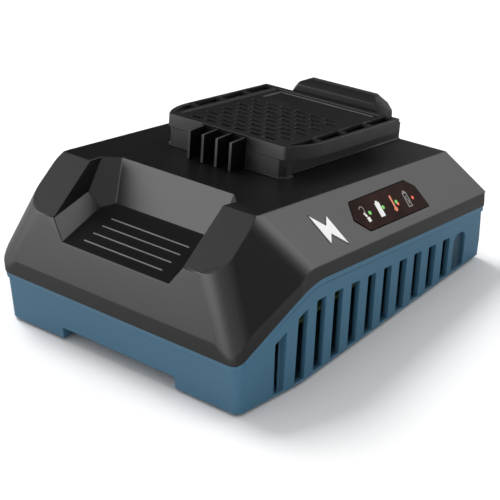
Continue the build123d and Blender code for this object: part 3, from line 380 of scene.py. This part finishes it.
# ---------------------------------------------------------------------------
# Power board: a green fibreglass board on four posts with a switching supply:
# ferrite transformer, capacitors, finned heat sinks, choke and fuse.
solder_mask = moulded("solder mask", srgb(14, 62, 34), srgb(20, 78, 42), srgb(120, 120, 80),
                      dull=(0.3, 0.42))
dress(solder_mask, "main_board", "led_board")
ferrite = moulded("ferrite", srgb(38, 38, 42), srgb(52, 52, 56), srgb(80, 80, 84),
                  dull=(0.5, 0.65))
dress(ferrite, "transformer_core")
tape = moulded("amber tape", srgb(112, 86, 22), srgb(128, 100, 30), srgb(190, 160, 80),
               dull=(0.3, 0.4))
dress(tape, "transformer_winding", "film_capacitor")
glass_filled = moulded("black glass-filled plastic", srgb(17, 17, 18), srgb(26, 26, 27),
                       srgb(60, 60, 60))
dress(glass_filled, "transformer_bobbin", "power_transistors")
sleeve = moulded("shrink sleeve", srgb(16, 20, 50), srgb(22, 28, 64), srgb(90, 96, 130),
                 dull=(0.25, 0.35))
dress(sleeve, "mains_capacitor", "output_capacitors")
sink_metal = moulded("extruded aluminium", srgb(168, 170, 172), srgb(190, 192, 194),
                     srgb(220, 220, 220), dull=(0.32, 0.45), metallic=1.0)
dress(sink_metal, "primary_heat_sink", "secondary_heat_sink")
enamel = moulded("enamelled copper", srgb(120, 58, 24), srgb(150, 76, 34), srgb(200, 130, 80),
                 dull=(0.25, 0.35), metallic=0.6)
dress(enamel, "noise_choke")
ceramic = moulded("fuse ceramic", srgb(190, 182, 165), srgb(210, 202, 188), srgb(220, 220, 215))
dress(ceramic, "fuse")

# ---------------------------------------------------------------------------
# Fan: a 30 mm axial fan moulded in black plastic. Its frame stands in a cradle
# on the housing's floor by the left slots; the rotor's shaft runs in the frame.
dress(glass_filled, "fan_frame")
rotor_plastic = moulded("rotor plastic", srgb(24, 25, 27), srgb(34, 35, 38), srgb(70, 70, 74),
                        dull=(0.35, 0.5))
dress(rotor_plastic, "fan_rotor")

# ---------------------------------------------------------------------------
# Mains inlet: a black two-pole appliance socket clipped in the rear wall,
# with two nickel-plated pins.
INLET_EDGE = 0.3 * MM

softened("ac_inlet", INLET_EDGE, glass_filled)
nickel = moulded("nickel plate", srgb(176, 174, 168), srgb(196, 194, 188),
                 srgb(220, 220, 216), dull=(0.18, 0.28), metallic=1.0)
dress(nickel, "inlet_pins")

# ---------------------------------------------------------------------------
# Upper shell: a dark grey moulding with satin slopes, a deck for the dock and a deep finger scoop
# in the nose, screwed to the housing from below; its faces that look up carry a painted shade.
SHELL_EDGE = 0.4 * MM

# The deck and the scoop's floor look up and take the darker top colour: painted shade.
shell_grey = moulded("shell grey", srgb(22, 22, 22), srgb(28, 28, 27), srgb(84, 84, 84),
                     dull=(0.34, 0.44), top=srgb(13, 13, 14))
softened("upper_shell", SHELL_EDGE, shell_grey)

# ---------------------------------------------------------------------------
# Louvre bars: four slim moulded strips with round backs that stand a little
# proud of the scoop's floor, evenly spaced up its slope.
# The bars are much lighter than the shell: a painted highlight for the bright lines along them.
louvre_grey = moulded("louvre grey", srgb(72, 72, 72), srgb(86, 86, 86), srgb(120, 120, 120))


def row_tree(name, shape):
    """A row of like shapes: Count copies of what shape builds, one Step apart."""
    tree = bpy.data.node_groups.new(name, "GeometryNodeTree")
    tree.is_modifier = True
    inputs = (
        ("Count", "NodeSocketInt"),
        ("First", "NodeSocketVector"),
        ("Step", "NodeSocketVector"),
        ("Turn", "NodeSocketRotation"),
        ("Length", "NodeSocketFloat"),
        ("Radius", "NodeSocketFloat"),
        ("Flatten", "NodeSocketFloat"),
        ("Finish", "NodeSocketMaterial"),
    )
    sockets = {}
    for label, kind in inputs:
        socket = tree.interface.new_socket(label, in_out="INPUT", socket_type=kind)
        sockets[label] = socket.identifier
    tree.interface.new_socket("Geometry", in_out="OUTPUT", socket_type="NodeSocketGeometry")
    given = tree.nodes.new("NodeGroupInput").outputs
    line = tree.nodes.new("GeometryNodeMeshLine")
    line.mode = "OFFSET"
    tree.links.new(given["Count"], line.inputs["Count"])
    tree.links.new(given["First"], line.inputs["Start Location"])
    tree.links.new(given["Step"], line.inputs["Offset"])
    squash = tree.nodes.new("ShaderNodeCombineXYZ")
    squash.inputs["X"].default_value = 1.0
    squash.inputs["Y"].default_value = 1.0
    tree.links.new(given["Flatten"], squash.inputs["Z"])
    flat = tree.nodes.new("GeometryNodeTransform")
    tree.links.new(shape(tree, given), flat.inputs["Geometry"])
    tree.links.new(squash.outputs[0], flat.inputs["Scale"])
    copies = tree.nodes.new("GeometryNodeInstanceOnPoints")
    tree.links.new(line.outputs["Mesh"], copies.inputs["Points"])
    tree.links.new(flat.outputs["Geometry"], copies.inputs["Instance"])
    tree.links.new(given["Turn"], copies.inputs["Rotation"])
    real = tree.nodes.new("GeometryNodeRealizeInstances")
    tree.links.new(copies.outputs["Instances"], real.inputs["Geometry"])
    finish = tree.nodes.new("GeometryNodeSetMaterial")
    tree.links.new(real.outputs["Geometry"], finish.inputs["Geometry"])
    tree.links.new(given["Finish"], finish.inputs["Material"])
    out = tree.nodes.new("NodeGroupOutput").inputs[0]
    tree.links.new(finish.outputs["Geometry"], out)
    return tree, sockets


def bar_shape(tree, given):
    """Round bar along x, its middle at the origin."""
    spine = tree.nodes.new("GeometryNodeCurvePrimitiveLine")
    for end, share in (("Start", -0.5), ("End", 0.5)):
        point = tree.nodes.new("ShaderNodeCombineXYZ")
        tree.links.new(math_node(tree, "MULTIPLY", given["Length"], share), point.inputs["X"])
        tree.links.new(point.outputs[0], spine.inputs[end])
    section = tree.nodes.new("GeometryNodeCurvePrimitiveCircle")
    section.inputs["Resolution"].default_value = 16
    tree.links.new(given["Radius"], section.inputs["Radius"])
    solid = tree.nodes.new("GeometryNodeCurveToMesh")
    solid.inputs["Fill Caps"].default_value = True
    tree.links.new(spine.outputs["Curve"], solid.inputs["Curve"])
    tree.links.new(section.outputs["Curve"], solid.inputs["Profile Curve"])
    return solid.outputs["Mesh"]


def row(name, built, slot, mat, **sizes):
    """Runs a row tree on an empty mesh and bakes it."""
    tree, sockets = built
    holder = bpy.data.objects.new("holder", bpy.data.meshes.new("holder"))
    scene.collection.objects.link(holder)
    maker = holder.modifiers.new("row", "NODES")
    maker.node_group = tree
    for label, value in sizes.items():
        maker[sockets[label]] = value
    maker[sockets["Finish"]] = mat
    return baked(holder, name, mat)


LOUVRE_COUNT = 4
LOUVRE_LENGTH = 39.4 * MM
LOUVRE_RADIUS = 0.3 * MM
LOUVRE_PROUD = 0.35 * MM
LOUVRE_PITCH = 5.03 * MM
SCOOP_FLOOR_RISE = 0.196

floor_angle = math.atan(SCOOP_FLOOR_RISE)
floor_back = Vector((0, math.cos(floor_angle), math.sin(floor_angle)))
louvre_corner = Vector(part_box("scoop_louvre")[0])
front_edge_y = louvre_corner.y + LOUVRE_PROUD * math.sin(floor_angle)
first_bar = Vector((0, front_edge_y, louvre_corner.z)) + floor_back * LOUVRE_RADIUS
louvres = row("scoop_louvre_bars", row_tree("Louvre row", bar_shape), "louvre_grey", louvre_grey,
              Count=LOUVRE_COUNT, First=tuple(first_bar), Step=tuple(floor_back * LOUVRE_PITCH),
              Turn=(floor_angle, 0.0, 0.0), Length=LOUVRE_LENGTH, Radius=LOUVRE_RADIUS,
              Flatten=LOUVRE_PROUD / LOUVRE_RADIUS)
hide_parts("scoop_louvre")

# ---------------------------------------------------------------------------
# Battery dock: three black glass-filled mouldings that stand on the deck: the
# block, the slotted plate with its two rails, and the stop behind the plate.
DOCK_EDGE = 0.25 * MM
STOP_EDGE = 0.45 * MM
DECK_HEIGHT = 58.7 * MM
DECK_TILT = math.asin(0.1486)
PLATE_TOP = 12.86 * MM
PLATE_SKIN = 1.3 * MM
PLATE_INSIDE_W = 33.6 * MM
PLATE_FRONT = -9.4 * MM
PLATE_NOSE_W = 32.3 * MM
PLATE_NOSE_FLARE = 0.32
PLATE_SLOT_SHADE = (0.15, 0.15, 0.15, 1.0)


def shade_in_plate(tree, colour):
    """Painted shade in the plate's slots, below its top and inside its outline: the colour is
    darkened, and made metallic so that it loses its sheen.
    """
    place = tree.nodes.new("ShaderNodeSeparateXYZ")
    tree.links.new(tree.nodes.new("ShaderNodeTexCoord").outputs["Object"], place.inputs[0])
    x, y, z = place.outputs["X"], place.outputs["Y"], place.outputs["Z"]
    rise = math_node(tree, "SUBTRACT", z, DECK_HEIGHT)
    height = math_node(tree, "MULTIPLY", rise, math.cos(DECK_TILT))
    height = math_node(tree, "MULTIPLY_ADD", y, math.sin(DECK_TILT), height)
    deep = math_node(tree, "LESS_THAN", height, PLATE_TOP - PLATE_SKIN)
    outline = math_node(tree, "MULTIPLY_ADD", y, PLATE_NOSE_FLARE, PLATE_NOSE_W)
    outline = math_node(tree, "MINIMUM", outline, PLATE_INSIDE_W)
    inside = math_node(tree, "LESS_THAN", math_node(tree, "ABSOLUTE", x), outline)
    behind = math_node(tree, "GREATER_THAN", y, PLATE_FRONT)
    share = math_node(tree, "MULTIPLY", math_node(tree, "MULTIPLY", deep, inside), behind)
    # Metallic near black takes the slots' sheen away: painted shade.
    tree.links.new(share, tree.nodes["Principled BSDF"].inputs["Metallic"])
    return mixed(tree, share, colour, PLATE_SLOT_SHADE, "MULTIPLY")


# Faces that look up take their own top colour, a painted shade on the block and stop.
dock_black = moulded("dock black", srgb(24, 24, 24), srgb(29, 29, 29), srgb(110, 110, 110),
                     dull=(0.4, 0.52), specular=0.24, top=srgb(20, 20, 20))
# The plate's slots are darkened and lose their sheen: painted shade.
plate_black = moulded("plate black", srgb(20, 20, 20), srgb(25, 25, 25), srgb(110, 110, 110),
                      dull=(0.4, 0.52), specular=0.3, top=srgb(22, 22, 22), shade=shade_in_plate)
softened("battery_dock", DOCK_EDGE, dock_black)
softened("dock_plate", DOCK_EDGE, plate_black)
softened("stop_block", STOP_EDGE, dock_black)

# ---------------------------------------------------------------------------
# Terminal comb: four guard ribs on a back plate, moulded in one piece and let
# into the dock's front, with tinned spring contacts in the ribs.
RIB_EDGE = 0.2 * MM

# Black plastic, made near black and almost without sheen as painted shade between the ribs; its
# light edges are a painted highlight on the rib fronts.
terminal_shade_black = moulded("terminal black", srgb(10, 10, 10), srgb(13, 13, 13),
                         srgb(130, 130, 130), specular=0.08)
softened("terminal_holder", RIB_EDGE, terminal_shade_black)
tinned = moulded("tinned contact", srgb(150, 140, 120), srgb(170, 160, 138),
                 srgb(200, 196, 180), dull=(0.25, 0.35), metallic=1.0)
dress(tinned, "contact_blades")

# ---------------------------------------------------------------------------
# Status window: a smoked, polished lens on a ledge in the right slope, with
# clear light guides under it and four chips on a small board.
POLISH_DEPTH = 0.002 * MM

smoked = moulded("smoked window", srgb(15, 6, 5), srgb(20, 8, 7), srgb(60, 40, 36),
                 dull=(0.14, 0.22), depth=POLISH_DEPTH, specular=0.02)
dress(smoked, "led_window")
guide = moulded("light guide", srgb(190, 196, 192), srgb(206, 210, 206), srgb(220, 220, 220))
dress(guide, "light_guides", "status_leds")

# ---------------------------------------------------------------------------
# Status signs: plain pictures printed on the window in white, grey and orange:
# a plug on its lead, a full battery, a thermometer and a hot battery.
LENS_PROUD = 0.25 * MM
PRINT_T = 0.05 * MM
LEAD_LINE = 0.35
WAVE_LINE = 0.4

# The slope's own frame: u runs to the rear, v down the slope, n off it
slope_origin = Vector((49.0, 0.0, 58.7)) * MM
slope_u = Vector((0.0, 0.9913, -0.1318)).normalized()
slope_n = Vector((0.743, 0.088, 0.663)).normalized()
slope_v = slope_u.cross(slope_n).normalized()
slope_n = slope_v.cross(slope_u)


def on_slope(u, v, lift):
    """Point on the slope frame; u and v in millimetres, lift in metres."""
    return slope_origin + slope_u * u * MM + slope_v * v * MM + slope_n * lift


def printed(name, mat, *shapes):
    """Thin raised print on the window from closed outlines in (u, v)."""
    work = bmesh.new()
    for points in shapes:
        low = [work.verts.new(on_slope(u, v, LENS_PROUD)) for u, v in points]
        high = [work.verts.new(on_slope(u, v, LENS_PROUD + PRINT_T)) for u, v in points]
        work.faces.new(high)
        work.faces.new(low[::-1])
        for i in range(len(points)):
            j = (i + 1) % len(points)
            work.faces.new((low[i], low[j], high[j], high[i]))
    bmesh.ops.recalc_face_normals(work, faces=work.faces)
    mesh = bpy.data.meshes.new(name)
    work.to_mesh(mesh)
    work.free()
    mesh.materials.append(mat)
    piece = bpy.data.objects.new(name, mesh)
    scene.collection.objects.link(piece)
    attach(piece, "charger")
    return piece


def arc(u, v, radius, start, end, count=10):
    """Points on an arc, angles in degrees."""
    angles = [math.radians(start + (end - start) * i / (count - 1)) for i in range(count)]
    return [(u + radius * math.cos(a), v + radius * math.sin(a)) for a in angles]


def ribbon(points, width):
    """Outline of a line of a given width through points."""
    left, right = [], []
    for i, point in enumerate(points):
        before = Vector(points[max(i - 1, 0)])
        after = Vector(points[min(i + 1, len(points) - 1)])
        along = (after - before).normalized()
        side = Vector((-along.y, along.x)) * width / 2
        left.append(tuple(Vector(point) + side))
        right.append(tuple(Vector(point) - side))
    return left + right[::-1]


def oblong(u0, v0, u1, v1):
    """Outline of an upright rectangle."""
    return [(u0, v0), (u1, v0), (u1, v1), (u0, v1)]


print_white = moulded("white print", srgb(232, 232, 228), srgb(244, 244, 240),
                      srgb(250, 250, 250), dull=(0.5, 0.6))
print_grey = moulded("grey print", srgb(120, 118, 116), srgb(140, 138, 136),
                     srgb(160, 160, 160), dull=(0.5, 0.6))
print_orange = moulded("orange print", srgb(214, 104, 62), srgb(228, 118, 74),
                       srgb(240, 150, 110), dull=(0.5, 0.6))

lead_line = arc(1.4, 10.9, 1.3, 200, 380) + [(2.5, 12.4), (1.9, 13.0)]
printed("sign_plug_lead", print_grey, ribbon(lead_line, LEAD_LINE))
printed("sign_plug", print_white,
        [(1.2, 12.4), (2.2, 12.2), (3.0, 14.0), (2.0, 14.2)],
        [(1.9, 14.5), (3.6, 14.3), (3.9, 16.2), (2.2, 16.4)])
printed("sign_battery", print_white,
        oblong(10.2, 10.4, 13.0, 16.4), oblong(11.0, 9.7, 12.2, 10.4))
printed("sign_thermometer", print_orange,
        arc(20.8, 15.6, 1.05, -60, 240, 16), oblong(20.3, 9.8, 21.3, 14.7))
printed("sign_hot_battery", print_grey,
        oblong(28.8, 10.8, 31.4, 11.2), oblong(28.8, 16.6, 31.4, 17.0),
        oblong(28.8, 11.2, 29.2, 16.6), oblong(31.0, 11.2, 31.4, 16.6),
        oblong(29.5, 10.1, 30.7, 10.8),
        ribbon([(30.1, 12.2), (29.8, 13.4), (30.4, 14.6), (30.1, 15.8)], WAVE_LINE))

# ---------------------------------------------------------------------------
# Lit dots: where the light of the chips comes through the window, three green
# and two orange.
DOT_RADIUS = 0.85 * MM
DOT_FLATTEN = 0.12
GREEN_FIRST = (5.1, 13.1)
GREEN_PITCH = 8.95
ORANGE_FIRST = (23.4, 14.0)
ORANGE_PITCH = 10.4
ORANGE_SHARE = 0.85
GLOW_LIFT = 1.2
PATCH_DIM = 0.6
PATCH_SIZE = 900.0


def lit(name, colour, strength):
    """Glowing spot that is brighter in patches."""
    brighter = tuple(min(1.0, c * GLOW_LIFT) for c in colour)
    mat = moulded(name, colour, brighter, colour, dull=(0.3, 0.4))
    tree = mat.node_tree
    shader = tree.nodes["Principled BSDF"]
    shader.inputs["Emission Strength"].default_value = strength
    dim = tuple(c * PATCH_DIM for c in colour[:3]) + (1.0,)
    glow = mixed(tree, noise_node(tree, PATCH_SIZE), dim, colour)
    tree.links.new(glow, shader.inputs["Emission Color"])
    return mat


def dome_shape(tree, given):
    """Ball that the row's squash makes a low dome."""
    ball = tree.nodes.new("GeometryNodeMeshUVSphere")
    ball.inputs["Segments"].default_value = 24
    ball.inputs["Rings"].default_value = 12
    tree.links.new(given["Radius"], ball.inputs["Radius"])
    return ball.outputs["Mesh"]


dot_row = row_tree("Dot row", dome_shape)
slope_turn = tuple(Matrix((slope_u, -slope_v, slope_n)).transposed().to_euler())
lit_green = lit("lit green", srgb(90, 176, 68), strength=0.35)
lit_orange = lit("lit orange", srgb(216, 78, 34), strength=0.4)
row("lit_dots_green", dot_row, "led_white", lit_green, Count=3,
    First=tuple(on_slope(*GREEN_FIRST, LENS_PROUD)), Step=tuple(slope_u * GREEN_PITCH * MM),
    Turn=slope_turn, Radius=DOT_RADIUS, Flatten=DOT_FLATTEN)
row("lit_dots_orange", dot_row, "led_white", lit_orange, Count=2,
    First=tuple(on_slope(*ORANGE_FIRST, LENS_PROUD)), Step=tuple(slope_u * ORANGE_PITCH * MM),
    Turn=slope_turn, Radius=DOT_RADIUS * ORANGE_SHARE, Flatten=DOT_FLATTEN)

# ---------------------------------------------------------------------------
# Inlay: a lightning bolt stamped from brushed silver foil and pressed into a
# pocket of its own outline in the right slope, in front of the window.
silver = moulded("silver foil", srgb(206, 206, 208), srgb(222, 222, 224), srgb(235, 235, 235),
                 dull=(0.45, 0.6), metallic=0.2)
dress(silver, "side_inlay")

# ---------------------------------------------------------------------------
# Studio: pale floor, white surround and a soft sun from the left for the shadow.
# Two black cards, a grey one and three soft panels stand around the charger for
# its satin plastic to mirror, out of the camera's sight.
FLOOR_REACH = 6.0
FLOOR_TONE = (0.88, 0.88, 0.885, 1)
BLACK_TONE = (0.01, 0.01, 0.01, 1)
GREY_TONE = (0.42, 0.42, 0.42, 1)
CARD_LIFT = 0.5 * MM


def stock(name, tone):
    """Plain stock without sheen, for the floor and the cards."""
    mat = bpy.data.materials.new(name)
    mat.use_nodes = True
    shader = mat.node_tree.nodes["Principled BSDF"]
    shader.inputs["Base Color"].default_value = tone
    shader.inputs["Roughness"].default_value = 0.9
    shader.inputs["Specular IOR Level"].default_value = 0.0
    return mat


def staged(name, corners, mat):
    """Flat sheet that is part of the studio."""
    mesh = bpy.data.meshes.new(name)
    mesh.from_pydata(corners, [], [(0, 1, 2, 3)])
    mesh.materials.append(mat)
    sheet = bpy.data.objects.new(name, mesh)
    scene.collection.objects.link(sheet)
    return sheet


def level_corners(x, y, z):
    """Corners of a level sheet from its two ends in x and in y."""
    return [(x[0], y[0], z), (x[1], y[0], z), (x[1], y[1], z), (x[0], y[1], z)]


def mirrored_card(name, corners, mat):
    """Card that is seen only in the charger's satin faces."""
    card = staged(name, corners, mat)
    card.visible_camera = False
    card.visible_diffuse = False
    card.visible_shadow = False


def upright_card(name, heading, distance, half_width, low, high, lean):
    """Black card that stands in a heading from the charger and leans over it."""
    out = Vector((math.sin(math.radians(heading)), math.cos(math.radians(heading)), 0))
    side = Vector((out.y, -out.x, 0)) * half_width
    foot = out * distance + Vector((0, 0, low))
    head = out * (distance - lean) + Vector((0, 0, high))
    corners = (foot - side, foot + side, head + side, head - side)
    mirrored_card(name, [tuple(corner) for corner in corners], black_stock)


floor_ends = (-FLOOR_REACH, FLOOR_REACH)
staged("studio_floor", level_corners(floor_ends, floor_ends, 0), stock("studio floor", FLOOR_TONE))
black_stock = stock("black card", BLACK_TONE)
grey_stock = stock("grey card", GREY_TONE)
upright_card("card_behind", heading=-50, distance=0.95, half_width=0.5,
             low=0.02, high=1.5, lean=0.5)
upright_card("card_right", heading=94, distance=0.7, half_width=0.3,
             low=0.0, high=0.9, lean=0.35)
mirrored_card("card_floor", level_corners((-0.24, 0.24), (-0.14, 0.24), CARD_LIFT), grey_stock)

PANEL_AIM = Vector((0, 0, 0.04))


def aimed(toward, place):
    """Pose of a lamp at a place that shines back along a direction."""
    turn = toward.to_track_quat("Z", "Y").to_matrix().to_4x4()
    return Matrix.Translation(place) @ turn


def reflected_panel(name, toward, distance, size, radiance):
    """Soft box that gives a satin face its sheen; it faces the charger."""
    data = bpy.data.lights.new(name, "AREA")
    data.shape = "RECTANGLE"
    data.size, data.size_y = size
    data.energy = radiance * math.pi * size[0] * size[1]
    lamp = bpy.data.objects.new(name, data)
    scene.collection.objects.link(lamp)
    toward = Vector(toward).normalized()
    lamp.matrix_world = aimed(toward, PANEL_AIM + toward * distance)
    lamp.visible_camera = False
    lamp.visible_diffuse = False


reflected_panel("panel_rear_right", toward=(0.43, 0.80, 0.43), distance=1.1,
                size=(0.8, 0.7), radiance=1.05)
reflected_panel("panel_front_left", toward=(-0.5, -0.866, 0.23), distance=1.0,
                size=(1.3, 0.5), radiance=4.9)
reflected_panel("panel_right_high", toward=(0.62, 0.56, 0.55), distance=0.9,
                size=(0.35, 0.35), radiance=5.0)

# The surround is plain white where it is seen or mirrored, and a little less as light
AMBIENT = 0.72

world = bpy.data.worlds.new("studio")
scene.world = world
world.use_nodes = True
sky = world.node_tree
sky.nodes.clear()
rays = sky.nodes.new("ShaderNodeLightPath").outputs
seen = math_node(sky, "MAXIMUM", rays["Is Camera Ray"], rays["Is Transmission Ray"])
seen = math_node(sky, "MAXIMUM", seen, rays["Is Glossy Ray"])
backdrop = sky.nodes.new("ShaderNodeBackground")
backdrop.inputs["Color"].default_value = (1, 1, 1, 1)
strength = math_node(sky, "MULTIPLY_ADD", seen, 1.0 - AMBIENT, AMBIENT)
sky.links.new(strength, backdrop.inputs["Strength"])
sky.links.new(backdrop.outputs[0], sky.nodes.new("ShaderNodeOutputWorld").inputs["Surface"])

SUN_STRENGTH = 2.4
SUN_SPREAD = math.radians(28)
SUN_FROM = Vector((-0.62, 0.10, 0.78))

sun_data = bpy.data.lights.new("sun", "SUN")
sun_data.energy = SUN_STRENGTH
sun_data.angle = SUN_SPREAD
sun = bpy.data.objects.new("sun", sun_data)
scene.collection.objects.link(sun)
sun.matrix_world = aimed(SUN_FROM, Vector((0, 0, 0)))
sun.visible_glossy = False

# ---------------------------------------------------------------------------
# Camera: a long lens that looks 28 degrees down from the front right, with a
# slight roll.
YAW = math.radians(40.08)
PITCH = math.radians(27.77)
ROLL = math.radians(1.755)
SENSOR_W = 36.0
FOCAL_LENGTH = 98.6
CAMERA_SPOT = Vector((0.3206, -0.3791, 0.2776))

ahead = Vector((-math.sin(YAW) * math.cos(PITCH), math.cos(YAW) * math.cos(PITCH),
                -math.sin(PITCH)))
level_side = Vector((math.cos(YAW), math.sin(YAW), 0))
upright = level_side.cross(ahead)
across = math.cos(ROLL) * level_side - math.sin(ROLL) * upright
up = math.sin(ROLL) * level_side + math.cos(ROLL) * upright
cam_data = bpy.data.cameras.new("camera")
cam_data.sensor_width = SENSOR_W
cam_data.lens = FOCAL_LENGTH
camera = bpy.data.objects.new("camera", cam_data)
scene.collection.objects.link(camera)
turn = Matrix((across, up, -ahead)).transposed().to_4x4()
camera.matrix_world = Matrix.Translation(CAMERA_SPOT) @ turn
scene.camera = camera
scene.view_settings.view_transform = "Standard"
